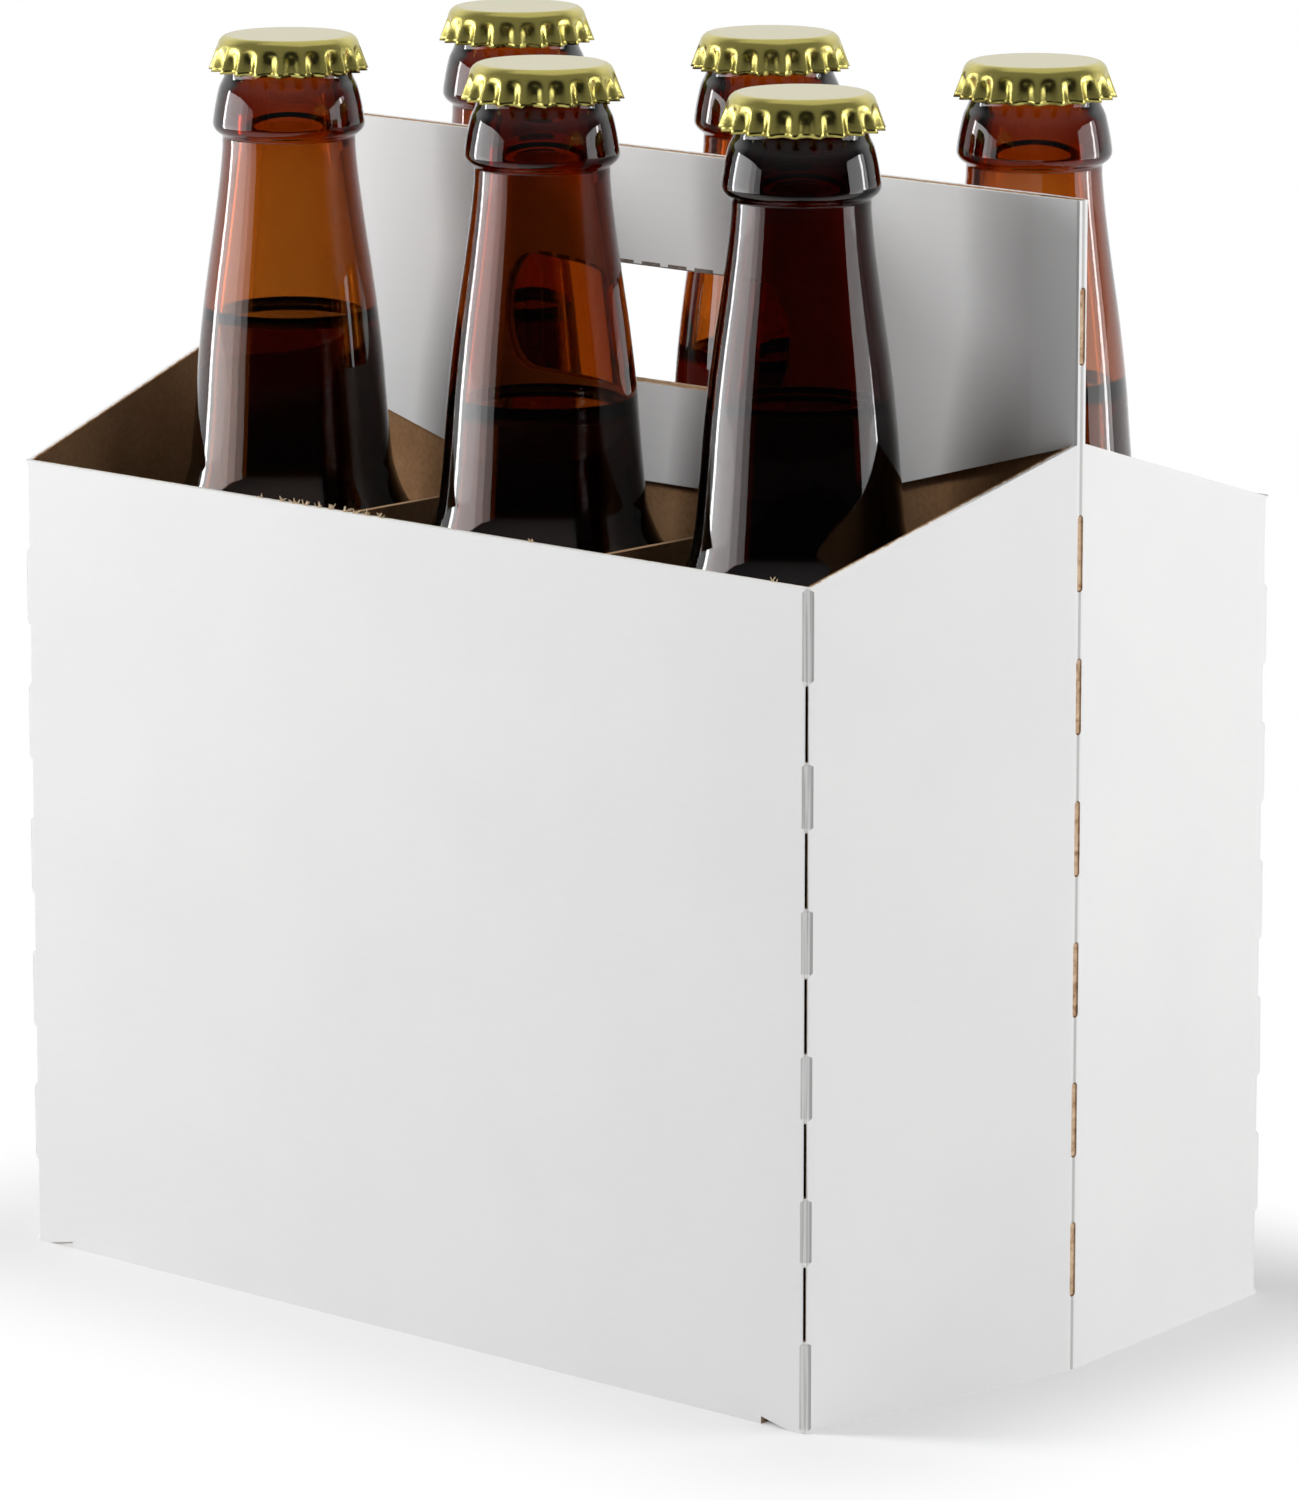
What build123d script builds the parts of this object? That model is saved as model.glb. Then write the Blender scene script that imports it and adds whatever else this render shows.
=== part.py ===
from build123d import *
import math
import os

os.makedirs("parts", exist_ok=True)

# Six-bottle carrier of folded corrugated board, with its bottles, in millimetres.
# X runs along the long side panels and Z is up. The photographed sides face -Y and +X.
# The origin is on the floor under the middle of the carton, and the handle stands in the plane Y = 0.

# Bottles: radii, and heights above the bottle's own base
BOTTLE_R = 30.5
BOTTLE_H = 229.8
BODY_H = 124.5          # where the shoulder begins
SHOULDER_IN, SHOULDER_H = 5.1, 137.5  # inside the body's radius, where it turns from convex to hollow
NECK_R, NECK_H = 18.9, 152.0          # where the neck begins
COLLAR_R, COLLAR_DROP = 14.2, 15.8    # widest ring of the neck's finish, down from the lip
NECK_TOP_R = 12.5
LIP_R, LIP_DROP = 12.1, 6.8
BORE_R = 9.0
HEEL = 4.0              # chamfer under the body
PUNT_H = 2.5            # hollow under the base
GLASS = 2.6             # wall
GLASS_BASE = 6.0
NECK_IN = 3.0           # the space narrows to the neck this far below the outside
LIQUID_GAP = 0.12
SHOULDER_R = BOTTLE_R - SHOULDER_IN

# Crown caps
FLUTES = 21
CAP_R = 15.0            # over the flute tips
CAP_WAVE = 1.1          # how far the hollows lie inside the tips
CAP_TOP_R = 13.25       # where the flutes begin
CAP_FLAT_R = 12.0       # flat part of the top
CAP_H = 6.5
CAP_SHOULDER = 1.7      # height of the rounded shoulder, above the flutes
CAP_SHEET = 0.28
LINER = 0.5
LINER_GAP = 0.1         # round the liner's edge
CAP_SEAT = 0.02         # between liner, cap and lip

# Carton
BOARD = 1.3             # thickness of the corrugated board
TOUCH = 0.05            # between boards that are glued or lie face to face
CELL_PLAY = 1.9         # play of a bottle in its cell, along X
END_PLAY = 5.0          # more of it at the two ends
ROW_PLAY = 0.35         # between a bottle and the center board
SIDE_PLAY = 1.1         # between a bottle and the side panel
RIM_Z = 152.2           # top edge of the side panels
PEAK_RISE = 18.2        # from there up to the top of the end panels' middle folds
BULGE = 7.9             # how far those folds stand out past the corners
HANDLE_RISE = 43.8      # from there up to the top of the handle
FOLD_R = 0.9            # outside radius of a folded edge
CREASE_W = 2.2          # flat strip along the middle folds of the ends

PITCH = 2 * BOTTLE_R + BOARD + CELL_PLAY
ROW_Y = BOARD / 2 + ROW_PLAY + BOTTLE_R
LENGTH = 3 * PITCH + END_PLAY
SIDE_Y = ROW_Y + BOTTLE_R + SIDE_PLAY + BOARD
PEAK_Z = RIM_Z + PEAK_RISE
HANDLE_Z = PEAK_Z + HANDLE_RISE
FOLD_X = LENGTH / 2 + BULGE
FLOOR_Z = 2 * BOARD
LEAN = math.degrees(math.atan2(BULGE, SIDE_Y - CREASE_W / 2))  # of the end panels' halves

# Handle: two plies of the carton's board with the center board glued between them
CLOSE_RUN = 10.0        # length over which the plies close up to their end fold
MERGE_RUN = 2.3         # length over which they touch there
HOLE_L, HOLE_H = 76.0, 21.9
HOLE_DROP = 21.6        # from the handle's top edge to the hole
FLAP_L, FLAP_H = 50.0, 19.4  # the flap out of the hole, folded up behind the handle
HOLE_TOP = HANDLE_Z - HOLE_DROP

# Slits along the folds
SLIT, SLIT_W, SLIT_PITCH = 14.0, 1.5, 26.0
SLIT_TOP = 19.7         # from the peak down to the middle of the first one
HANDLE_SLIT = 21.2      # from the peak up to the middle of the one in the handle
NICK, NICK_W, NICK_PITCH = 13.6, 0.5, 26.1
NICK_TOP = 24.1         # from the rim down to the middle of the first one
BAND_W, BAND_RAMP = 2.0, 0.8  # width of a corner fold pressed flat between two nicks, and its ends

# Floor: the front flap lies under the back flap
LAP_IN = 2.6            # the front flap ends this far inside the back panel
END_GAP = 0.3           # between the floor and an end panel, at the corners
RELIEF_L, RELIEF_H, RELIEF_IN = 6.3, 1.4, 4.0  # cuts in the side panels' bottom folds, near the corners

# Dividers
DIVIDER_DROP = 3.8      # their top edge below the rim

# Where each bottle stands: cell, offset in it, and the liquid's level above the floor
SHIFT = 3.9             # all stand this far toward +X
BOTTLES = {
    "front_left": (-1, -1, 0.0, 0.1, 180.4),
    "front_middle": (0, -1, 0.8, 0.2, 170.6),
    "front_right": (1, -1, 0.0, -0.2, 177.0),
    "back_left": (-1, 1, -0.8, 0.0, 176.0),
    "back_middle": (0, 1, 0.0, 0.4, 172.9),
    "back_right": (1, 1, 0.8, 0.0, 173.7),
}


def box(x0, x1, y0, y1, z0, z1):
    return Pos((x0 + x1) / 2, (y0 + y1) / 2, (z0 + z1) / 2) * Box(x1 - x0, y1 - y0, z1 - z0)


def prism(plane, points, start, end):
    """An outline in a plane, extruded from one offset to another along its normal."""
    face = make_face(Polyline(*points, close=True))
    return extrude(plane.offset(start) * face, end - start)


def plan():
    """Outline of the carton from above, with the flat strips of its end folds."""
    half = CREASE_W / 2
    right = [(LENGTH / 2, -SIDE_Y), (FOLD_X, -half), (FOLD_X, half), (LENGTH / 2, SIDE_Y)]
    return right + [(-x, -y) for x, y in right]


def walls():
    """Side panels and folded end panels, with the sloped top edges of the ends."""
    outline = make_face(Polyline(*plan(), close=True))
    inside = offset(outline, -BOARD, kind=Kind.INTERSECTION)
    outline = fillet([v for v in outline.vertices() if abs(v.Y) > CREASE_W], FOLD_R)
    ring = extrude(outline - inside, PEAK_Z)
    far = SIDE_Y + 5
    above = prism(
        Plane.YZ,
        [(-far, RIM_Z), (BOARD - SIDE_Y, RIM_Z), (-BOARD, PEAK_Z), (-BOARD, PEAK_Z + 5),
         (-far, PEAK_Z + 5)],
        -FOLD_X - 5, FOLD_X + 5,
    )
    return ring - above - mirror(above, Plane.XZ)


def handle():
    """Both plies of the handle, folded at its ends and shut on the center board."""
    tip, close, merge = FOLD_X, FOLD_X - CLOSE_RUN, FOLD_X - MERGE_RUN
    outside = [(tip, CREASE_W / 2), (tip - FOLD_R / 2, BOARD), (close, 1.5 * BOARD)]
    outside += [(-x, y) for x, y in reversed(outside)]
    outside += [(x, -y) for x, y in reversed(outside)]
    plies = prism(Plane.XY, outside, RIM_Z, HANDLE_Z)
    half = BOARD / 2
    gap = [(merge, 0), (close, half), (-close, half), (-merge, 0), (-close, -half), (close, -half)]
    plies -= prism(Plane.XY, gap, RIM_Z - 1, HANDLE_Z + 1)
    run = math.hypot(SIDE_Y, BULGE)
    below = [(-tip - 1, RIM_Z - 1), (-tip - 1, PEAK_Z), (-tip, PEAK_Z), (run - tip, RIM_Z)]
    below += [(-x, z) for x, z in reversed(below)]
    plies -= prism(Plane.XZ, below, -5, 5)
    hole = Plane.XZ * SlotOverall(HOLE_L, HOLE_H)
    plies -= Pos(0, 0, HOLE_TOP - HOLE_H / 2) * extrude(hole, 5, both=True)
    return plies


def hand_flap():
    """The flap cut from the hand hole, turned through it and up behind the far ply."""
    behind = 1.5 * BOARD + TOUCH
    fold = box(-FLAP_L / 2, FLAP_L / 2, -1.5 * BOARD, behind + BOARD, HOLE_TOP, HOLE_TOP + BOARD)
    plate = box(-FLAP_L / 2, FLAP_L / 2, behind, behind + BOARD, HOLE_TOP, HOLE_TOP + FLAP_H)
    plate = fillet(plate.edges().filter_by(Axis.Y).group_by(Axis.Z)[-1], FLAP_H / 2 - 1)
    return fold, plate


def floor():
    """Front flap below, back flap above, both reaching from fold to fold."""
    end = LENGTH / 2 - BOARD - END_GAP
    front = box(-end, end, BOARD / 2 - SIDE_Y, SIDE_Y - LAP_IN, 0, BOARD)
    back = box(-end, end, BOARD + TOUCH - SIDE_Y, SIDE_Y - BOARD / 2, BOARD, FLOOR_Z)
    return front + back


def slits():
    """Slits through the middle folds and the corner folds."""
    cuts = []
    levels = [PEAK_Z + HANDLE_SLIT]
    z = PEAK_Z - SLIT_TOP
    while z > SLIT:
        levels.append(z)
        z -= SLIT_PITCH
    slit = Plane.YZ * Rot(0, 0, 90) * SlotOverall(SLIT, SLIT_W)
    for z in levels:
        for end in (-1, 1):
            cuts.append(Pos(end * FOLD_X, 0, z) * extrude(slit, 4, both=True))
    return cuts


def corners():
    """(x, y, turn about Z) of the four corner folds, turned to face outward."""
    out = (-90 + LEAN) / 2
    return [(LENGTH / 2, -SIDE_Y, out), (LENGTH / 2, SIDE_Y, -out),
            (-LENGTH / 2, SIDE_Y, 180 + out), (-LENGTH / 2, -SIDE_Y, 180 - out)]


def corner_cuts():
    """Nicks through the corner folds, and the flat pressed bands between them."""
    edges = [RIM_Z]
    z = RIM_Z - NICK_TOP
    nicks = []
    while z > NICK:
        nicks.append(z)
        edges += [z + NICK / 2, z - NICK / 2]
        z -= NICK_PITCH
    edges.append(0)
    bands = list(zip(edges[::2], edges[1::2]))
    nick = Plane.YZ * Rot(0, 0, 90) * SlotOverall(NICK, NICK_W)
    depth = BAND_W / 2 / math.tan(math.radians(90 + LEAN) / 2)
    cuts = []
    for x, y, turn in corners():
        place = Pos(x, y, 0) * Rot(0, 0, turn)
        for z in nicks:
            cuts.append(place * Pos(0, 0, z) * extrude(nick, 2.5, both=True))
        for top, bottom in bands:
            press = [(1, top), (0, top), (-depth, top - BAND_RAMP), (-depth, bottom + BAND_RAMP),
                     (0, bottom), (1, bottom)]
            cuts.append(place * prism(Plane.XZ, press, -3, 3))
    return cuts


def relief_cuts():
    """Small openings in the bottom folds of the side panels, beside the corners."""
    start = LENGTH / 2 - RELIEF_IN
    outline = [(start, -1), (start, 0), (start - RELIEF_L, RELIEF_H), (start - RELIEF_L, -1)]
    cut = prism(Plane.XZ, outline, SIDE_Y - BOARD - 0.5, SIDE_Y + 1)
    cut += mirror(cut, Plane.YZ)
    return [cut, mirror(cut, Plane.XZ)]


def carton():
    fold, plate = hand_flap()
    blank = walls() + handle() + floor()
    blank = blank - fold + fold + plate
    for cut in slits() + corner_cuts() + relief_cuts():
        blank -= cut
    return blank


def center_board():
    """The board down the middle, glued in the end folds and, above them, between the handle's plies."""
    shut, end, low = FOLD_X - CLOSE_RUN, FOLD_X - BOARD - TOUCH, FLOOR_Z + TOUCH
    slope = PEAK_RISE / math.hypot(SIDE_Y, BULGE)
    shut_z, end_z = (PEAK_Z - TOUCH - slope * (FOLD_X - x) for x in (shut, end))
    outline = [(end, low), (end, end_z), (shut, shut_z), (shut, HANDLE_Z)]
    outline += [(-x, z) for x, z in reversed(outline)]
    half = BOARD / 2 - TOUCH / 2
    board = prism(Plane.XZ, outline, -half, half)
    hole = Plane.XZ * SlotOverall(HOLE_L, HOLE_H)
    board -= Pos(0, 0, HOLE_TOP - HOLE_H / 2) * extrude(hole, 5, both=True)
    grown = FLAP_L / 2 + TOUCH
    return board - box(-grown, grown, -5, 5, HOLE_TOP - 1, HOLE_TOP + BOARD + TOUCH)


def divider(column, row):
    """A board across one row, between the cell in this column and the next."""
    x = SHIFT + (column + 0.5) * PITCH
    near, far = BOARD / 2, SIDE_Y - BOARD - TOUCH
    low, high = sorted((row * near, row * far))
    return box(x - BOARD / 2, x + BOARD / 2, low, high, FLOOR_Z + TOUCH, RIM_Z - DIVIDER_DROP)


def finish(path):
    return revolve(Plane.XZ * make_face(path), Axis.Z)


def bottle_glass():
    lip, collar = BOTTLE_H - LIP_DROP, BOTTLE_H - COLLAR_DROP
    shoulder = TangentArc((BOTTLE_R, BODY_H), (SHOULDER_R, SHOULDER_H), tangent=(0, 1))
    hollow = TangentArc((SHOULDER_R, SHOULDER_H), (NECK_R, NECK_H), tangent=shoulder % 1)
    base = Polyline((0, PUNT_H), (BOTTLE_R - HEEL, 0), (BOTTLE_R, HEEL), (BOTTLE_R, BODY_H))
    top = Polyline((NECK_R, NECK_H), (NECK_TOP_R, collar - 2.2), (COLLAR_R - 0.3, collar - 1.0),
                   (COLLAR_R, collar), (LIP_R, lip), (LIP_R, BOTTLE_H - 1.4),
                   (LIP_R - 1.4, BOTTLE_H), (0, BOTTLE_H), (0, PUNT_H))
    return finish(base + shoulder + hollow + top) - bottle_space(0)


def bottle_space(inset):
    """The space inside a bottle, or what fills it with a gap all round."""
    g = GLASS + inset
    return finish(Polyline(
        (0, GLASS_BASE + inset), (BOTTLE_R - g, GLASS_BASE + inset), (BOTTLE_R - g, BODY_H),
        (NECK_R - g, NECK_H - NECK_IN), (BORE_R - inset, BOTTLE_H - COLLAR_DROP),
        (BORE_R - inset, BOTTLE_H + 1), (0, BOTTLE_H + 1), close=True))


def beer(level):
    """The liquid, up to its level above the bottle's base."""
    return bottle_space(LIQUID_GAP) - box(-BOTTLE_R, BOTTLE_R, -BOTTLE_R, BOTTLE_R, level, BOTTLE_H + 2)


def ring(radius, z, wave=0):
    """Points round the crown, one for each flute's tip and hollow, with the hollows drawn in."""
    step = math.pi / FLUTES
    radii = [radius, radius - wave] * FLUTES
    return [Vector(r * math.cos(i * step), r * math.sin(i * step), z) for i, r in enumerate(radii)]


def band(low, high):
    """Flat triangles between two rings, mirrored about each flute."""
    faces = []
    for i in range(len(low)):
        tip, hollow = (i, i - 1) if i % 2 == 0 else (i - 1, i)
        faces.append(Face(Wire.make_polygon([low[tip], low[hollow], high[tip]])))
        faces.append(Face(Wire.make_polygon([low[hollow], high[hollow], high[tip]])))
    return faces


def cap_form(inset):
    """The crown's outside, or its inside where inset is the sheet's thickness."""
    rings = [
        ring(CAP_R - inset, 0, CAP_WAVE),
        ring(CAP_TOP_R - inset, CAP_H - CAP_SHOULDER),
        ring(CAP_FLAT_R - inset, CAP_H - inset),
    ]
    ends = [Face(Wire.make_polygon(rings[i])) for i in (0, -1)]
    return Solid(Shell(ends + band(*rings[:2]) + band(*rings[1:])))


def crown_cap():
    return cap_form(0) - cap_form(CAP_SHEET)


pieces = {"carton_blank": carton(), "center_board": center_board()}
for row, side in ((-1, "front"), (1, "back")):
    pieces[f"{side}_left_divider"] = divider(-1, row)
    pieces[f"{side}_right_divider"] = divider(0, row)

glass, cap = bottle_glass(), crown_cap()
liner = extrude(Circle(CAP_FLAT_R - CAP_SHEET - LINER_GAP), LINER)
LIP_Z = FLOOR_Z + BOTTLE_H
CAP_Z = LIP_Z + LINER + 2 * CAP_SEAT + CAP_SHEET - CAP_H
for name, (column, row, dx, dy, level) in BOTTLES.items():
    spot = Pos(SHIFT + column * PITCH + dx, row * ROW_Y + dy, 0)
    pieces[f"{name}_bottle"] = spot * Pos(0, 0, FLOOR_Z) * glass
    pieces[f"{name}_beer"] = spot * Pos(0, 0, FLOOR_Z) * beer(level - FLOOR_Z)
    pieces[f"{name}_liner"] = spot * Pos(0, 0, LIP_Z + CAP_SEAT) * liner
    pieces[f"{name}_cap"] = spot * Pos(0, 0, CAP_Z) * cap

for name, piece in pieces.items():
    export_step(piece, f"parts/{name}.step")
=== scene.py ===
"""Six-bottle carrier of white corrugated board, filled with capped amber bottles."""

import math
import random

import bmesh
import bpy
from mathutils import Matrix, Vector


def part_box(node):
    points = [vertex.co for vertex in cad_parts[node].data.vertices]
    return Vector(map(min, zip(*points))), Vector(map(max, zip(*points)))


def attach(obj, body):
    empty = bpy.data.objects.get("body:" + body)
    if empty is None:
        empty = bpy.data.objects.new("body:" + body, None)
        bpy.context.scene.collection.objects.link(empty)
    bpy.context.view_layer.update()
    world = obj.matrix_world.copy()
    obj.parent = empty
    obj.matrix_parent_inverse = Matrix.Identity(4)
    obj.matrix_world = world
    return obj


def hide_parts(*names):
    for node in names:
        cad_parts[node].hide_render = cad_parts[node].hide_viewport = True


MM = 0.001
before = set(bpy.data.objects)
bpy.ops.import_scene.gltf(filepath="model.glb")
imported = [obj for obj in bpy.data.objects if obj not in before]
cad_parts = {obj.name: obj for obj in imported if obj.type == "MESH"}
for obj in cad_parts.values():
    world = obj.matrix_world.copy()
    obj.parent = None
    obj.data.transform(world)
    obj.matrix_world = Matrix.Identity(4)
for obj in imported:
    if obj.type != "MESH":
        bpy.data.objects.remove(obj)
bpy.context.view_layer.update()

# Photograph
CAMERA_AT = (1.0341, -1.1243, 0.4143)
AZIMUTH, ELEVATION = 42.54, 11.62
PHOTO_HEIGHT, FOCAL = 1500, 8296.0      # pixels
SENSOR = 36.0                           # height of the camera's sensor, mm
BACKDROP = (-0.676, 0.737, 0)           # behind the object, as the camera looks

# The carton's middle folds, the outer faces of its side panels and the top of its handle
FOLD_X, SIDE_Y, HANDLE_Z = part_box("carton_blank")[1]

# Sizes of the carton that the details share with the CAD
BOARD = 1.3 * MM
BULGE = 7.9 * MM                        # how far the middle folds stand out past the corners
CREASE = 1.1 * MM                       # half the flat strip along the middle folds
END_LEAN = BULGE / (SIDE_Y - CREASE)    # slope of the end panels' halves, seen from above
RIM_Z = 152.2 * MM                      # top edge of the side panels
PEAK_Z = 170.4 * MM                     # top of the middle folds, where the handle begins
HOLE_TOP = 192.6 * MM
FLAP_L = 50 * MM                        # length of the flap in the hand hole
SLIT, SLIT_W, SLIT_PITCH = 14.0 * MM, 1.5 * MM, 26.0 * MM
TOP_SLIT = 19.7 * MM                    # from the peak down to the middle of the wall's first slit
HANDLE_SLIT = 21.2 * MM                 # from the peak up to the middle of the handle's slit

# Finishes of the carton's faces, in the order of its material slots
COATED, BARE, CUT, CRUSHED = range(4)

# A face is level or square to an axis, or leans towards it, past these shares of its normal
LEVEL, SQUARE, LEANING = 0.5, 0.9, 0.1

PLACES = [f"{side}_{place}" for side in ("front", "back") for place in ("left", "middle", "right")]


# Node helpers

class Nodes:
    """Short ways to add nodes to a tree and to link them."""

    def __init__(self, tree):
        self.tree = tree

    def link(self, source, socket):
        self.tree.links.new(source, socket)

    def add(self, kind, inputs=None, **values):
        """A node with its inputs linked, where a socket is given, or set to a value."""
        node = self.tree.nodes.new(kind)
        for key, value in values.items():
            setattr(node, key, value)
        for name, source in (inputs or {}).items():
            if isinstance(source, bpy.types.NodeSocket):
                self.link(source, node.inputs[name])
            else:
                node.inputs[name].default_value = source
        return node

    def place(self):
        """Where the point lies in the object, in metres."""
        return self.add("ShaderNodeTexCoord").outputs["Object"]

    def math(self, operation, *inputs):
        node = self.add("ShaderNodeMath", dict(enumerate(inputs)), operation=operation)
        return node.outputs["Value"]

    def vector(self, operation, *inputs):
        node = self.add("ShaderNodeVectorMath", dict(enumerate(inputs)), operation=operation)
        return node.outputs["Value" if operation in ("DOT_PRODUCT", "LENGTH") else "Vector"]

    def split(self, vector):
        return self.add("ShaderNodeSeparateXYZ", {0: vector}).outputs

    def span(self, value, start, end, first=0.0, last=1.0, **values):
        """A value that runs from `first` at `start` to `last` at `end` and stays level outside."""
        inputs = {"Value": value, "From Min": start, "From Max": end, "To Min": first, "To Max": last}
        return self.add("ShaderNodeMapRange", inputs, **values).outputs["Result"]

    def noise(self, at, scale, detail=2.0, roughness=0.5):
        inputs = {"Vector": at, "Scale": scale, "Detail": detail, "Roughness": roughness}
        return self.add("ShaderNodeTexNoise", inputs).outputs["Fac"]

    def bump(self, height, strength, distance, over=None):
        """A relief, laid over another one where that is given."""
        inputs = {"Height": height, "Strength": strength, "Distance": distance}
        if over is not None:
            inputs["Normal"] = over
        return self.add("ShaderNodeBump", inputs).outputs["Normal"]

    def ramp(self, source, *stops):
        """A colour ramp with its stops as (position, colour)."""
        node = self.add("ShaderNodeValToRGB", {"Fac": source})
        elements = node.color_ramp.elements
        while len(elements) < len(stops):
            elements.new(0.5)
        for element, (position, color) in zip(elements, stops):
            element.position = position
            element.color = (*color, 1)
        return node.outputs["Color"]

    def mix_colors(self, factor, first, second):
        node = self.add("ShaderNodeMix", {"Factor": factor, 6: first, 7: second}, data_type="RGBA")
        return node.outputs[2]

    def mix_values(self, factor, first, second):
        node = self.add("ShaderNodeMix", {"Factor": factor, "A": first, "B": second}, data_type="FLOAT")
        return node.outputs["Result"]

    def glow(self, strength):
        """Plain white light."""
        inputs = {"Color": (1, 1, 1, 1), "Strength": strength}
        return self.add("ShaderNodeEmission", inputs).outputs["Emission"]

    def seen(self):
        """1 for rays that show a surface: from the camera, in a reflection or through glass."""
        path = self.add("ShaderNodeLightPath").outputs
        direct = self.math("MAXIMUM", path["Is Camera Ray"], path["Is Glossy Ray"])
        return self.math("MAXIMUM", direct, path["Is Transmission Ray"])


class Paint(Nodes):
    """A new material, with constants set on its Principled shader by socket name."""

    def __init__(self, name, constants):
        self.material = bpy.data.materials.new(name)
        self.material.use_nodes = True
        super().__init__(self.material.node_tree)
        self.shader = self.tree.nodes["Principled BSDF"]
        for socket, value in constants.items():
            self.shader.inputs[socket].default_value = value

    def color(self, source):
        self.link(source, self.shader.inputs["Base Color"])

    def relief(self, source):
        self.link(source, self.shader.inputs["Normal"])

    def output(self, source, socket):
        self.link(source, self.tree.nodes["Material Output"].inputs[socket])


def matte(roughness, specular):
    """Constants of a dull surface."""
    return {"Roughness": roughness, "Specular IOR Level": specular}


# Board and paper

FLUTE_SCALE = 110.0                     # of the wave texture that draws the flute lines
SCORE_CORE, SCORE_EDGE = 0.25 * MM, 0.5 * MM    # half widths of the scored line and of its soft edge
SCORE_DEPTH = 0.6 * MM                  # the line lies on faces this near the middle folds' outside
DIAGONAL = (0.707, -0.707, 0)           # level, across the pressed band of a corner fold
BAND_SLANT = 0.4                        # a band's normal has more than this along both X and Y
BAND_CORE, BAND_EDGE = 0.55 * MM, 0.95 * MM     # where the painted shade at the band's edge starts and ends
CREASES_ACROSS, CREASES_ALONG = 2600.0, 40.0    # creases are fine across a band and long down it


def score_line(paint, at):
    """1 on the line scored down the middle fold of each end panel, where a dark line paints the groove's
    shade.
    """
    part = paint.split(at)
    near = paint.span(paint.math("ABSOLUTE", part["Y"]), SCORE_EDGE, SCORE_CORE)
    outer = paint.math("GREATER_THAN", paint.math("ABSOLUTE", part["X"]), FOLD_X - SCORE_DEPTH)
    return paint.math("MULTIPLY", near, outer)


def pressed_bands(paint, at):
    """1 on the corner folds, pressed flat, and their colour: painted shade along the edges, and fine creases
    painted as grey and pale streaks, their painted shade and highlight.
    """
    corner = paint.vector("SUBTRACT", paint.vector("ABSOLUTE", at), (FOLD_X - BULGE, SIDE_Y, 0))
    across = paint.vector("DOT_PRODUCT", corner, DIAGONAL)
    normal = paint.add("ShaderNodeNewGeometry").outputs["True Normal"]
    facing = paint.split(paint.vector("ABSOLUTE", normal))
    slant = paint.math("MINIMUM", facing["X"], facing["Y"])
    band = paint.math("GREATER_THAN", slant, BAND_SLANT)
    edge = paint.span(paint.math("ABSOLUTE", across), BAND_CORE, BAND_EDGE)
    streaks = paint.add("ShaderNodeCombineXYZ", {
        0: paint.math("MULTIPLY", across, CREASES_ACROSS),
        1: paint.math("MULTIPLY", paint.split(at)["Z"], CREASES_ALONG),
    }).outputs["Vector"]
    # grey and pale streaks: painted shade and highlight of the fine creases
    crease_shading = paint.ramp(paint.noise(streaks, 1.0), (0.38, (0.62, 0.61, 0.60)), (0.52, (0.88, 0.88, 0.87)))
    # the band's edges turn dark grey: painted shade along the folds
    return band, paint.mix_colors(edge, crease_shading, (0.50, 0.495, 0.49, 1))


def board_relief(paint, at, wobble, flute_strength, grain, grain_strength):
    """Faint flute lines with the paper's grain over them."""
    lines = paint.add("ShaderNodeTexWave", {"Vector": at, "Scale": FLUTE_SCALE, "Distortion": wobble},
                      bands_direction="Z").outputs["Fac"]
    flutes = paint.bump(lines, flute_strength, 0.4 * MM)
    paint.relief(paint.bump(grain, grain_strength, 0.2 * MM, over=flutes))


def white_board():
    """Clay-coated white liner: almost even, with faint flute lines and mottle."""
    paint = Paint("white_board", matte(0.62, 0.3))
    at = paint.place()
    mottle = paint.noise(at, 35.0, detail=5.0)
    plain = paint.ramp(mottle, (0.3, (0.81, 0.81, 0.81)), (0.7, (0.835, 0.832, 0.828)))
    # the scored line is mixed in dark grey: painted shade of the groove
    scored = paint.mix_colors(score_line(paint, at), plain, (0.50, 0.49, 0.48, 1))
    band, crease_shading = pressed_bands(paint, at)
    paint.color(paint.mix_colors(band, scored, crease_shading))
    board_relief(paint, at, 0.6, 0.035, paint.noise(at, 900.0, detail=3.0), 0.06)
    return paint.material


def kraft_board():
    """Uncoated brown liner with short fibres and faint flute lines, paler along its top edges."""
    paint = Paint("kraft_board", matte(0.85, 0.15))
    at = paint.place()
    fibre = paint.noise(at, 1100.0, detail=5.0, roughness=0.7)
    cloud = paint.noise(at, 60.0, detail=3.0)
    mottle = paint.math("MULTIPLY", paint.math("ADD", cloud, fibre), 0.5)
    sheet = paint.ramp(mottle, (0.36, (0.25, 0.135, 0.063)), (0.5, (0.31, 0.17, 0.083)),
                       (0.64, (0.38, 0.22, 0.115)))
    up = paint.split(paint.add("ShaderNodeNewGeometry").outputs["Normal"])["Z"]
    raised = paint.math("GREATER_THAN", paint.split(at)["Z"], 100 * MM)
    top = paint.math("MULTIPLY", paint.math("GREATER_THAN", up, SQUARE), raised)
    paint.color(paint.mix_colors(top, sheet, (0.40, 0.25, 0.14, 1)))
    board_relief(paint, at, 0.3, 0.06, fibre, 0.2)
    return paint.material


def cut_edge():
    """Cut edge of the board: tan liners, with the flutes' hollows between them painted darker as shade."""
    paint = Paint("cut_edge", matte(0.95, 0.1))
    cells = paint.noise(paint.place(), 700.0, detail=4.0)
    # the darkest tone is painted shade in the flutes' hollows; the tan tones are the board's own
    paint.color(paint.ramp(cells, (0.32, (0.34, 0.20, 0.11)), (0.46, (0.55, 0.38, 0.24)),
                           (0.7, (0.70, 0.54, 0.38))))
    paint.relief(paint.bump(cells, 0.6, 0.4 * MM))
    return paint.material


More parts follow.
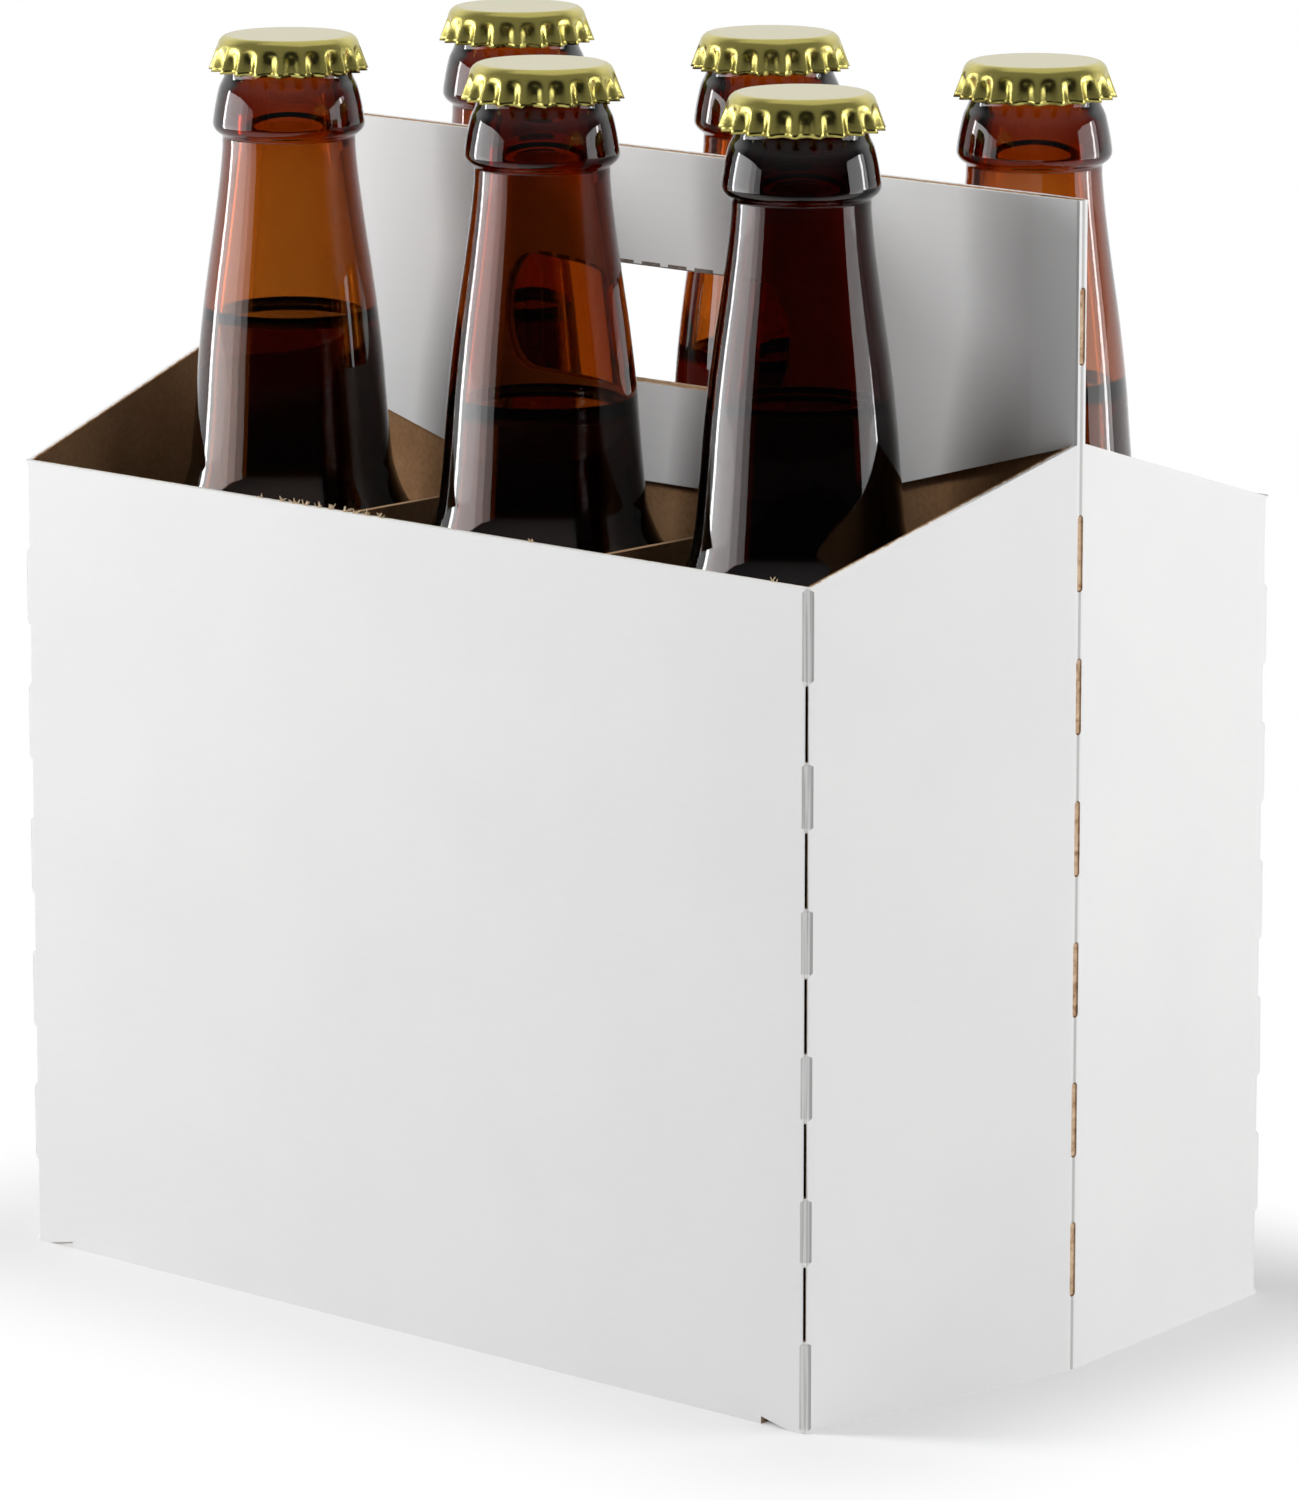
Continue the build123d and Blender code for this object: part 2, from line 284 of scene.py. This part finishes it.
def rim_edge():
    """Top edges, crushed by the cutting rule: white outside, brown inside, with a frayed line between."""
    paint = Paint("rim_edge", matte(0.9, 0.1))
    at = paint.place()
    part = paint.split(paint.vector("ABSOLUTE", at))

    # how far out a point lies, counted from the walls' or the handle's outer faces or a little inside
    side = paint.math("SUBTRACT", part["Y"], SIDE_Y - 0.4 * MM)
    end = paint.math("MULTIPLY_ADD", part["Y"], END_LEAN, part["X"])
    end = paint.math("SUBTRACT", end, FOLD_X + END_LEAN * CREASE)
    wall = paint.math("MAXIMUM", side, end)
    ply = paint.math("ADD", paint.math("SUBTRACT", part["Y"], 1.5 * BOARD), 0.35 * MM)
    on_handle = paint.math("GREATER_THAN", part["Z"], PEAK_Z + MM)
    depth = paint.mix_values(on_handle, wall, ply)

    fray = paint.noise(at, 900.0, detail=3.0)
    frayed = paint.math("MULTIPLY_ADD", fray, 0.9 * MM, depth)
    white = paint.span(frayed, -0.45 * MM, -0.2 * MM)
    brown = paint.ramp(fray, (0.35, (0.24, 0.135, 0.07)), (0.65, (0.42, 0.27, 0.16)))
    paint.color(paint.mix_colors(white, brown, (0.78, 0.77, 0.755, 1)))
    return paint.material


def mottled(name, constants, scale, dark, light):
    """Bare paper or plastic between two tones, each a (position, colour) of the mottle."""
    paint = Paint(name, constants)
    paint.color(paint.ramp(paint.noise(paint.place(), scale), dark, light))
    return paint.material


def fibre_and_shade(name, dark, light):
    """Bare paper fibre between two tones, also used near-black as painted shade in cuts."""
    return mottled(name, matte(0.95, 0.1), 900.0, (0.35, dark), (0.65, light))


# Glass, beer and metal

def clear_body(name, tint, index, depth_color, density):
    """A clear body that takes its colour from its depth."""
    paint = Paint(name, {"Base Color": tint, "Transmission Weight": 1.0, "Roughness": 0.0, "IOR": index})
    depth = paint.add("ShaderNodeVolumeAbsorption", {"Color": depth_color, "Density": density})
    paint.output(depth.outputs["Volume"], "Volume")
    return paint


def amber_glass(name, density):
    """Brown bottle glass with the slight waviness of a pressed bottle."""
    paint = clear_body(name, (0.98, 0.96, 0.93, 1), 1.5, (0.77, 0.50, 0.02, 1), density)
    waves = paint.noise(paint.place(), 28.0, detail=1.0)
    paint.relief(paint.bump(waves, 0.12, 3 * MM))
    return paint.material


def dark_beer():
    """The liquid: clear brown, nearly black through a bottle's width."""
    return clear_body("dark_liquid", (0.92, 0.80, 0.62, 1), 1.34, (0.84, 0.60, 0.0, 1), 480.0).material


def gold(name, color, roughness, grain, metallic=1.0):
    """Gold lacquer on tinplate."""
    paint = Paint(name, {"Base Color": color, "Metallic": metallic, "Roughness": roughness})
    speck = paint.noise(paint.place(), 1600.0)
    paint.relief(paint.bump(speck, grain, 0.1 * MM))
    return paint.material


WHITE, KRAFT, EDGE, RIM = white_board(), kraft_board(), cut_edge(), rim_edge()
# glass of three depths of brown: the front middle and front right bottles get denser glass, which paints in
# part of the shade on the board seen through them; the front right one is the darkest
GLASS = amber_glass("amber_glass", 920.0)
SHADED_GLASS = {
    "front_middle": amber_glass("amber_glass_shaded_mid", 1250.0),
    "front_right": amber_glass("amber_glass_shaded_dark", 2100.0),
}
BEER = dark_beer()
# the top's satin finish is real; its paler, partly diffuse gold catches light from above in every view:
# painted light
GOLD_TOP_LIT = gold("gold_cap", (0.61, 0.57, 0.37, 1), 0.34, 0.2, 0.8)
GOLD_SKIRT = gold("gold_cap_skirt", (0.52, 0.46, 0.135, 1), 0.25, 0.12)
LINER = mottled("cap_liner", {"Roughness": 0.5}, 300.0, (0.3, (0.74, 0.74, 0.72)),
                (0.7, (0.80, 0.80, 0.78)))
FIBRE = fibre_and_shade("torn_fibre", (0.62, 0.46, 0.29), (0.74, 0.60, 0.43))
# near-black: painted shade inside the hand hole's cut dashes and along their fold
DASH_SHADE = fibre_and_shade("perforation_shade", (0.17, 0.14, 0.12), (0.27, 0.23, 0.20))


# Mesh helpers

SEGMENTS = 96                           # round a turned form
CURVE_STEPS = 4                         # from one point of an outline to the next


def new_object(name, mesh, mats, node=None):
    """Link an object, put its materials on and hang it on the frame."""
    obj = bpy.data.objects.new(name, mesh)
    bpy.context.collection.objects.link(obj)
    for mat in mats:
        mesh.materials.append(mat)
    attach(obj, "root")
    if node:
        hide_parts(node)


def to_mesh(bm, name):
    """Turn edited faces into a mesh and let go of them."""
    mesh = bpy.data.meshes.new(name)
    bm.to_mesh(mesh)
    bm.free()
    return mesh


def smooth(points):
    """A curve through (radius, height) points."""
    out = []
    last = len(points) - 1
    for i in range(last):
        p0, p1, p2, p3 = (Vector(points[max(0, min(last, i + k))]) for k in (-1, 0, 1, 2))
        m1, m2 = (p2 - p0) * 0.5, (p3 - p1) * 0.5
        for s in range(CURVE_STEPS):
            t = s / CURVE_STEPS
            h = (2 * t**3 - 3 * t**2 + 1, t**3 - 2 * t**2 + t, -2 * t**3 + 3 * t**2, t**3 - t**2)
            out.append(p1 * h[0] + m1 * h[1] + p2 * h[2] + m2 * h[3])
    out.append(Vector(points[-1]))
    return out


def skin(name, rings, finish=lambda row: 0):
    """A smooth mesh over rings of points, where a ring may be one point on the axis."""
    bm = bmesh.new()
    rings = [[bm.verts.new(point) for point in ring] for ring in rings]
    count = max(len(ring) for ring in rings)
    for row, (a, b) in enumerate(zip(rings, rings[1:])):
        for k in range(count):
            n = (k + 1) % count
            corners = list(dict.fromkeys([a[k % len(a)], a[n % len(a)], b[n % len(b)], b[k % len(b)]]))
            if len(corners) > 2:
                face = bm.faces.new(corners)
                face.material_index = finish(row)
                face.smooth = True
    bmesh.ops.recalc_face_normals(bm, faces=bm.faces)
    return to_mesh(bm, name)


def lathe(name, outline, center):
    """Turn a (radius, height) outline in millimetres about a vertical axis."""
    rings = []
    for r, z in outline:
        turns = [math.tau * k / SEGMENTS for k in range(SEGMENTS if r > 1e-6 else 1)]
        rings.append([(center[0] + r * MM * math.cos(a), center[1] + r * MM * math.sin(a), z * MM)
                      for a in turns])
    return skin(name, rings)


def upright(node):
    """The axis (x, y) of a turned node in metres, and its foot and top in millimetres."""
    lo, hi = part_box(node)
    return ((lo.x + hi.x) / 2, (lo.y + hi.y) / 2), lo.z / MM, hi.z / MM


# Bottles: outlines as (radius, height above the foot), and at the lip (radius, drop below its top)

OUTSIDE = [
    (0, 2.4), (16, 1.4), (24.5, 0.1), (26.5, 0.1), (29.2, 1.3), (30.45, 4.2), (30.5, 9), (30.5, 60),
    (30.5, 112), (30.5, 124.5), (29.3, 131.2), (25.4, 137.5), (21.6, 143), (19.6, 148.2), (18.9, 152),
    (18.0, 162), (17.3, 171), (16.0, 182.3), (14.3, 194), (13.1, 203), (12.55, 208.5), (12.45, 210.8),
    (12.55, 211.7), (13.6, 212.6), (14.1, 213.4), (14.2, 214.3), (13.95, 216.2), (13.5, 218.6),
    (12.95, 220.8), (12.25, 222.3), (11.9, 223.5), (11.85, 225),
]
LIP = [(12.05, 1.7), (11.5, 0.4), (10.4, 0)]
MOUTH = [(9.2, 0.8)]
INSIDE = [
    (9.0, 225), (9.0, 214), (9.9, 206), (11.6, 194), (13.4, 182), (14.8, 171), (15.6, 160), (16.3, 152),
    (17.2, 147.6), (19.2, 142.6), (23.0, 137.1), (26.8, 130.4), (27.9, 124), (27.9, 100), (27.9, 40),
    (27.9, 12), (26.8, 8.5), (23.5, 6.6), (12, 6.1), (0, 6),
]
GLASS_FLOOR = 9                         # below this height the glass curves in under the beer
WETTING = 0.15                          # the beer reaches this far into the glass, so no air lies between
MENISCUS = [(2.6, 0), (1.2, 0.15), (0.35, 0.7), (0.05, 1.3)]    # (in from the beer's edge, rise)
MENISCUS_LOW = 0.4                      # the wetted wall starts this far below the level


def bottle(place):
    """Glass, as one skin outside and inside, and the liquid that wets it."""
    center, base, top = upright(f"{place}_bottle")
    outside = smooth([(r, base + h) for r, h in OUTSIDE] + [(r, top - drop) for r, drop in LIP])
    inside = smooth([(r, top - drop) for r, drop in MOUTH] + [(r, base + h) for r, h in INSIDE])
    mesh = lathe(f"{place}_bottle_glass", outside + inside, center)
    new_object(f"{place}_bottle_glass", mesh, [SHADED_GLASS.get(place, GLASS)], f"{place}_bottle")

    level = upright(f"{place}_beer")[2]
    wet = [point for point in inside if point.y < level - MENISCUS_LOW]
    wall = []
    for r, z in wet:
        out = WETTING if r > 0 else 0
        down = WETTING if z < base + GLASS_FLOOR else 0
        wall.append(Vector((r + out, z - down)))
    edge = wet[0].x + WETTING
    surface = [(0, level)] + [(edge - inward, level + rise) for inward, rise in MENISCUS]
    mesh = lathe(f"{place}_liquid", smooth(surface) + wall, center)
    new_object(f"{place}_liquid", mesh, [BEER], f"{place}_beer")


# Crown caps

FLUTES, PER_FLUTE = 21, 12              # and points round each flute
CAP_TURN = 0.13                         # radians from one cap to the next
TINPLATE = 0.28
HEM_DROP = 6.45                         # how deep the inside reaches
TOP_ROWS = 4                            # of the rows below, those with the flat top's paler gold, which is painted light
SHOULDER_R = 12.9                       # inside this radius the inner skin also lies a sheet lower
HOLLOWS = 0.9                           # under 1, the hollows are broad and the tips narrow
TIP_DROP = 0.1                          # how far the tips hang below the hollows, as a share of their depth

# (radius at the tips, drop below the top, depth of the hollows)
CROWN = [
    (0, 0, 0), (4, 0, 0), (8, 0, 0), (10.8, 0.02, 0), (11.5, 0.09, 0), (12.1, 0.30, 0), (12.6, 0.68, 0),
    (12.95, 1.15, 0), (13.2, 1.75, 0.02), (13.4, 2.3, 0.16), (13.62, 2.8, 0.5), (13.9, 3.6, 0.95),
    (14.3, 4.6, 1.2), (14.7, 5.7, 1.28), (15.0, 6.5, 1.25),
]


def crown(place, turn):
    """A pressed crown: flat satin top, rounded shoulder and 21 flutes that widen to the hem."""
    (x, y), _, top = upright(f"{place}_cap")
    inner = [(max(r - TINPLATE, 0), min(drop + (TINPLATE if r < SHOULDER_R else 0), HEM_DROP), depth)
             for r, drop, depth in CROWN[::-1]]
    count = FLUTES * PER_FLUTE
    rings = []
    for r, drop, depth in CROWN + inner:
        ring = []
        for k in range(count if r else 1):
            a = math.tau * k / count
            hollow = (0.5 - 0.5 * math.cos(FLUTES * a)) ** HOLLOWS
            reach = (r - depth * hollow) * MM
            z = (top - drop - TIP_DROP * depth * (1 - hollow)) * MM
            ring.append((x + reach * math.cos(a + turn), y + reach * math.sin(a + turn), z))
        rings.append(ring)
    mesh = skin(f"{place}_crown", rings, lambda row: 0 if row < TOP_ROWS or row >= len(CROWN) else 1)
    new_object(f"{place}_crown", mesh, [GOLD_TOP_LIT, GOLD_SKIRT], f"{place}_cap")


# Carton

NEAR = 0.1 * MM                         # a face this near an edge or surface belongs to it
SKIN = 0.05 * MM                        # the same, for the folds' outer faces
HANDLE_HALF = 3 * MM                    # half the handle's thickness, with some room
FLOOR_BOARDS = 4 * MM                   # the floor flaps' faces lie below this


def handle_side(center, normal, outward):
    """The finish of a face of the handle's plies, of its flap or of the folds at its ends."""
    x, y, z = abs(center.x), abs(center.y), center.z
    if abs(normal.z) > LEVEL:
        if z > HANDLE_Z - NEAR:
            return CRUSHED
        under_flap = normal.z < -SQUARE and abs(z - HOLE_TOP) < NEAR and x < FLAP_L / 2
        return COATED if under_flap else CUT
    if abs(normal.y) > SQUARE and y > 0.6 * BOARD:
        flap = center.y > 1.5 * BOARD + 0.01 * MM
        return COATED if (normal.y if flap else outward.y) > 0 else BARE
    on_fold = x > FOLD_X - MM and outward.x > 0.3 and y > 0.6 * SLIT_W
    if on_fold or x > FOLD_X - SKIN:
        return COATED
    between = y < 0.6 * BOARD and abs(normal.y) > SQUARE and x < FOLD_X - 3 * MM
    return BARE if between else CUT


def wall_side(center, normal, outward):
    """The finish of a face of the side and end panels or of the floor flaps."""
    x, y, z = abs(center.x), abs(center.y), center.z
    lean = math.atan(END_LEAN)
    to_side = outward.y
    to_end = outward.x * math.cos(lean) + outward.y * math.sin(lean)
    if abs(normal.z) > LEVEL and min(to_side, to_end) < LEANING:
        if z > RIM_Z - MM:
            return CRUSHED
        if normal.z < 0:
            return COATED if z < 0.2 * MM else CUT
        return BARE if z < FLOOR_BOARDS else CUT
    if y < BOARD and x > FOLD_X - 4 * MM:
        if x > FOLD_X - SKIN:
            return COATED
        return BARE if outward.x < -SQUARE else CUT
    if min(to_side, to_end) > LEANING:
        return COATED
    return BARE if max(to_side, to_end) < -LEANING else CUT


def board_side(center, normal):
    """The finish of a face of the carton, by its place and direction."""
    outward = Vector((math.copysign(1, center.x) * normal.x, math.copysign(1, center.y) * normal.y, normal.z))
    above_walls = center.z > PEAK_Z - 0.3 * MM
    in_handle = abs(center.y) < HANDLE_HALF and center.z > RIM_Z - MM and abs(center.x) < FOLD_X - 1.5 * BOARD
    side = handle_side if above_walls or in_handle else wall_side
    return side(center, normal, outward)


def carton():
    """The CAD blank with each face coated white, left kraft or shown as a cut edge."""
    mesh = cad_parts["carton_blank"].data.copy()
    mesh.name = "carton_sheet"
    mesh.materials.clear()
    bm = bmesh.new()
    bm.from_mesh(mesh)
    bmesh.ops.remove_doubles(bm, verts=bm.verts, dist=1e-6)
    for face in bm.faces:
        face.material_index = board_side(face.calc_center_median(), face.normal)
        face.smooth = False
    bm.to_mesh(mesh)
    bm.free()
    new_object("carton_sheet", mesh, [WHITE, KRAFT, EDGE, RIM], "carton_blank")


def upright_boxes(name, boxes, finish):
    """One object of upright boxes, each (low corner, high corner)."""
    bm = bmesh.new()
    for a, b in boxes:
        for v in bmesh.ops.create_cube(bm, size=1.0)["verts"]:
            v.co = Vector((a[i] if v.co[i] < 0 else b[i]) for i in range(3))
    new_object(name, to_mesh(bm, name), [finish])


def slit_levels():
    """Heights of the slits' middles, from the handle's down."""
    yield PEAK_Z + HANDLE_SLIT
    z = PEAK_Z - TOP_SLIT
    while z > SLIT:
        yield z
        z -= SLIT_PITCH


def slit_cores():
    """The torn flutes that show inside the slits of the middle folds."""
    boxes = []
    half = SLIT_W / 2 - 0.05 * MM
    sunk = 0.3 * MM
    for z in slit_levels():
        for end in (-1, 1):
            xs = sorted((end * (FOLD_X - BOARD), end * (FOLD_X - sunk)))
            boxes.append(((xs[0], -half, z - SLIT / 2 + sunk), (xs[1], half, z + SLIT / 2 - sunk)))
    upright_boxes("slit_flutes", boxes, EDGE)


def relief_painted_light():
    """White boxes behind the small cuts at the left corners, so the openings show pale: painted light in
    place of the shade inside.
    """
    left, right, foot, top = -98 * MM, -84 * MM, 0.05 * MM, 1.6 * MM
    inner, outer = SIDE_Y - 0.9 * MM, SIDE_Y - 0.3 * MM
    boxes = []
    for side in (-1, 1):
        ys = sorted((side * inner, side * outer))
        boxes.append(((left, ys[0], foot), (right, ys[1], top)))
    upright_boxes("relief_painted_light", boxes, WHITE)


def perforation_shade():
    """Dark dashes where the fold at the top of the hand hole is cut, on the front ply, and a dark line along
    the fold: painted shade in the cuts and the crease.
    """
    dash, pitch = 4.6 * MM, 6.6 * MM
    end = FLAP_L / 2
    y, z = -1.5 * BOARD, HOLE_TOP
    boxes = []
    x = -end + MM
    while x < end - 4 * MM:
        boxes.append(((x, y - 0.03 * MM, z + 0.05 * MM), (x + dash, y + 0.1 * MM, z + 0.75 * MM)))
        x += pitch
    boxes.append(((-end, y - 0.02 * MM, z - 0.02 * MM), (end, y + 0.3 * MM, z + 0.2 * MM)))
    upright_boxes("hole_perforation", boxes, DASH_SHADE)


# Torn fibres: where tufts stand along X, the stretch where they are thick, and a fibre's radius

TUFTS = (-36.5, -30.2, -27.1, -24.4, -21.2, -17.8, -14.4, -11.6, -8.6, -5.2, 32.3, 90.4)
THICK = (-31, 0)
THICK_TUFT, THIN_TUFT = 9, 5            # fibres in a tuft
FIBRE_R = 0.11


def fibre_mesh(bm, foot, tip, across, deep):
    """A square fibre that narrows to its tip and stays behind the panel's face."""
    sides = (across, deep, -across, -deep)
    ring = [bm.verts.new(foot + v) for v in sides]
    ends = [bm.verts.new(tip + v * 0.6) for v in sides]
    for v in ring + ends:
        v.co.y = max(v.co.y, -SIDE_Y + 0.02 * MM)
    for i in range(4):
        bm.faces.new((ring[i], ring[(i + 1) % 4], ends[(i + 1) % 4], ends[i]))
    bm.faces.new(ends)
    bm.faces.new(ring[::-1])


def burrs():
    """Tufts of torn fibre that stand on the front panel's top edge."""
    rng = random.Random(4)
    bm = bmesh.new()
    for x in TUFTS:
        base = Vector((x * MM, -SIDE_Y + 0.55 * BOARD, RIM_Z - 0.05 * MM))
        for _ in range(THICK_TUFT if THICK[0] < x < THICK[1] else THIN_TUFT):
            foot = base + Vector((rng.uniform(-0.5, 0.5), rng.uniform(-0.4, 0.4), 0)) * MM
            lean = Vector((rng.uniform(-1, 1), rng.uniform(-0.7, 0.7), rng.uniform(0.3, 1.1))).normalized()
            tip = foot + lean * rng.uniform(0.5, 1.3) * MM
            aside = Vector((rng.uniform(-1, 1), rng.uniform(-1, 1), 0.2))
            across = lean.cross(aside).normalized() * FIBRE_R * MM
            deep = lean.cross(across).normalized() * FIBRE_R * MM
            fibre_mesh(bm, foot, tip, across, deep)
    new_object("rim_burrs", to_mesh(bm, "rim_burrs"), [FIBRE])


# Scene

FLOOR_REACH = 9.0
SHADOW_REACH = 58 * MM                  # how far from the carton the painted shadow fades and the floor turns plain white
FLOOR_LIFT = 0.26                       # light the floor adds to what the eye sees of it
ROOM_LEVEL = 0.07                       # the world's light on surfaces
BACKDROP_LEVEL = 0.92                   # what glass and metal see of the backdrop
CEILING_LOW, CEILING_HIGH = 0.012, 0.3  # and of the room, near the floor and higher up

# Boxes that light the board: (name, compass angle, distance, height, (width, height), watts, aimed at z).
# A compass angle is 0 along +X and runs counter-clockwise from above.
BROAD = [
    ("front_box", -124, 0.9, 0.6, (1.08, 1.2), 2.7, 0.3),
    ("right_box", 38, 0.9, 0.5, (0.62, 1.2), 6.5, 0.25),
    ("key", -143, 1.3, 0.9, (0.4, 0.4), 19.8, 0.12),
    ("end_box", -5, 1.6, 0.5, (1.0, 1.0), 8.2, 0.12),
]
# Upright panels and strips that only glass and metal show: (name, compass angle, width, watts)
PANELS = [
    ("left_panel", -133, 0.92, 1.9),
    ("left_panel_2", -138, 0.76, 1.5),
    ("left_panel_3", -143, 0.60, 1.2),
    ("left_strip", -161, 0.08, 1.2),
    ("right_panel", 40, 0.6, 2.1),
    ("right_strip", 49, 0.07, 1.0),
]
PANEL_OUT, PANEL_Z, PANEL_TALL = 0.9, 0.21, 0.42


def floor_paper():
    """Pale floor that keeps the object's shadow near it, with a painted shadow there too, and turns to plain
    white farther out.
    """
    paint = Paint("floor", matte(0.9, 0.0))
    at = paint.place()
    paint.color(paint.ramp(paint.noise(at, 3.0), (0.3, (0.55, 0.55, 0.555)), (0.7, (0.56, 0.56, 0.565))))
    seen = paint.seen()
    lift = paint.glow(paint.math("MULTIPLY", seen, FLOOR_LIFT))
    near = paint.add("ShaderNodeAddShader", {0: paint.shader.outputs["BSDF"], 1: lift}).outputs["Shader"]

    # painted shadow: near the footprint the dimmer lit floor shows, blending into plain white with distance
    footprint = (FOLD_X - 5 * MM, SIDE_Y, 0)
    beyond = paint.vector("SUBTRACT", paint.vector("ABSOLUTE", at), footprint)
    away = paint.vector("LENGTH", paint.vector("MAXIMUM", beyond, (0, 0, 0)))
    far = paint.span(away, 0.0, SHADOW_REACH, interpolation_type="SMOOTHSTEP")
    share = paint.math("MULTIPLY", far, seen)

    # reflections find the white paper behind the object and a dim room before it
    lit = paint.span(paint.vector("DOT_PRODUCT", at, BACKDROP), -0.45, -0.15, 0.025, 1.0)
    camera_ray = paint.add("ShaderNodeLightPath").outputs["Is Camera Ray"]
    white = paint.glow(paint.math("MAXIMUM", lit, camera_ray))
    mix = paint.add("ShaderNodeMixShader", {0: share, 1: near, 2: white}).outputs["Shader"]
    paint.output(mix, "Surface")
    return paint.material


def room():
    """World: a white backdrop behind and beside the object, and a dim room above and in front."""
    world = bpy.data.worlds.new("studio")
    bpy.context.scene.world = world
    world.use_nodes = True
    nodes = Nodes(world.node_tree)
    toward = nodes.add("ShaderNodeTexCoord").outputs["Generated"]
    height = nodes.split(toward)["Z"]
    behind = nodes.span(nodes.vector("DOT_PRODUCT", toward, BACKDROP), 0.2, 0.55)
    share = nodes.math("MULTIPLY", behind, nodes.span(height, 0.85, 0.5))
    ceiling = nodes.span(height, 0.15, 0.45, CEILING_LOW, CEILING_HIGH)
    bright = nodes.math("MULTIPLY_ADD", share, BACKDROP_LEVEL, ceiling)
    background = nodes.tree.nodes["Background"].inputs
    nodes.link(nodes.mix_values(nodes.seen(), ROOM_LEVEL, bright), background["Strength"])
    background["Color"].default_value = (1, 1, 1, 1)


def ground():
    """The floor, which isn't part of the object."""
    mesh = bpy.data.meshes.new("floor")
    reach = FLOOR_REACH
    corners = [(-reach, -reach, 0), (reach, -reach, 0), (reach, reach, 0), (-reach, reach, 0)]
    mesh.from_pydata(corners, [], [(0, 1, 2, 3)])
    mesh.materials.append(floor_paper())
    obj = bpy.data.objects.new("floor", mesh)
    bpy.context.collection.objects.link(obj)


def turn_to(obj, direction):
    """Turn a lamp or camera to look in this direction."""
    obj.rotation_euler = direction.to_track_quat("-Z", "Y").to_euler()


def softbox(name, angle, distance, height, size, power, aim_z=0.12):
    """A rectangular lamp at a compass angle, aimed at a point of the carton's axis."""
    lamp = bpy.data.lights.new(name, "AREA")
    lamp.shape = "RECTANGLE"
    lamp.size, lamp.size_y = size
    lamp.energy = power
    obj = bpy.data.objects.new(name, lamp)
    bpy.context.collection.objects.link(obj)
    a = math.radians(angle)
    obj.location = (distance * math.cos(a), distance * math.sin(a), height)
    turn_to(obj, Vector((0, 0, aim_z)) - obj.location)
    return obj


def lamps():
    """Broad boxes for the board, low panels and strips for glass and metal, and one box for both."""
    for values in BROAD:
        box = softbox(*values)
        box.visible_glossy = False
        box.visible_transmission = False
    for name, angle, width, power in PANELS:
        panel = softbox(name, angle, PANEL_OUT, PANEL_Z, (width, PANEL_TALL), power, PANEL_Z)
        panel.visible_diffuse = False
    softbox("top_box", 100, 0.3, 1.6, (1.5, 1.5), 4.0)


def camera():
    """The photograph's camera."""
    data = bpy.data.cameras.new("camera")
    data.sensor_fit = "VERTICAL"
    data.sensor_height = SENSOR
    data.lens = FOCAL / PHOTO_HEIGHT * SENSOR
    data.clip_end = 50
    obj = bpy.data.objects.new("camera", data)
    bpy.context.collection.objects.link(obj)
    obj.location = CAMERA_AT
    az, el = math.radians(AZIMUTH), math.radians(ELEVATION)
    turn_to(obj, Vector((-math.sin(az) * math.cos(el), math.cos(az) * math.cos(el), -math.sin(el))))
    bpy.context.scene.camera = obj


def kept_nodes():
    """The board's and the liners' finishes, on the CAD nodes that stay."""
    for name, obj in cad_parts.items():
        finish = KRAFT if name.endswith(("divider", "board")) else LINER if name.endswith("liner") else None
        if finish:
            for slot in obj.material_slots:
                slot.material = finish


camera()
room()
ground()
lamps()
bpy.context.scene.view_settings.view_transform = "Standard"
carton()
slit_cores()
relief_painted_light()
perforation_shade()
burrs()
for index, place in enumerate(PLACES):
    bottle(place)
    crown(place, CAP_TURN * index)
kept_nodes()
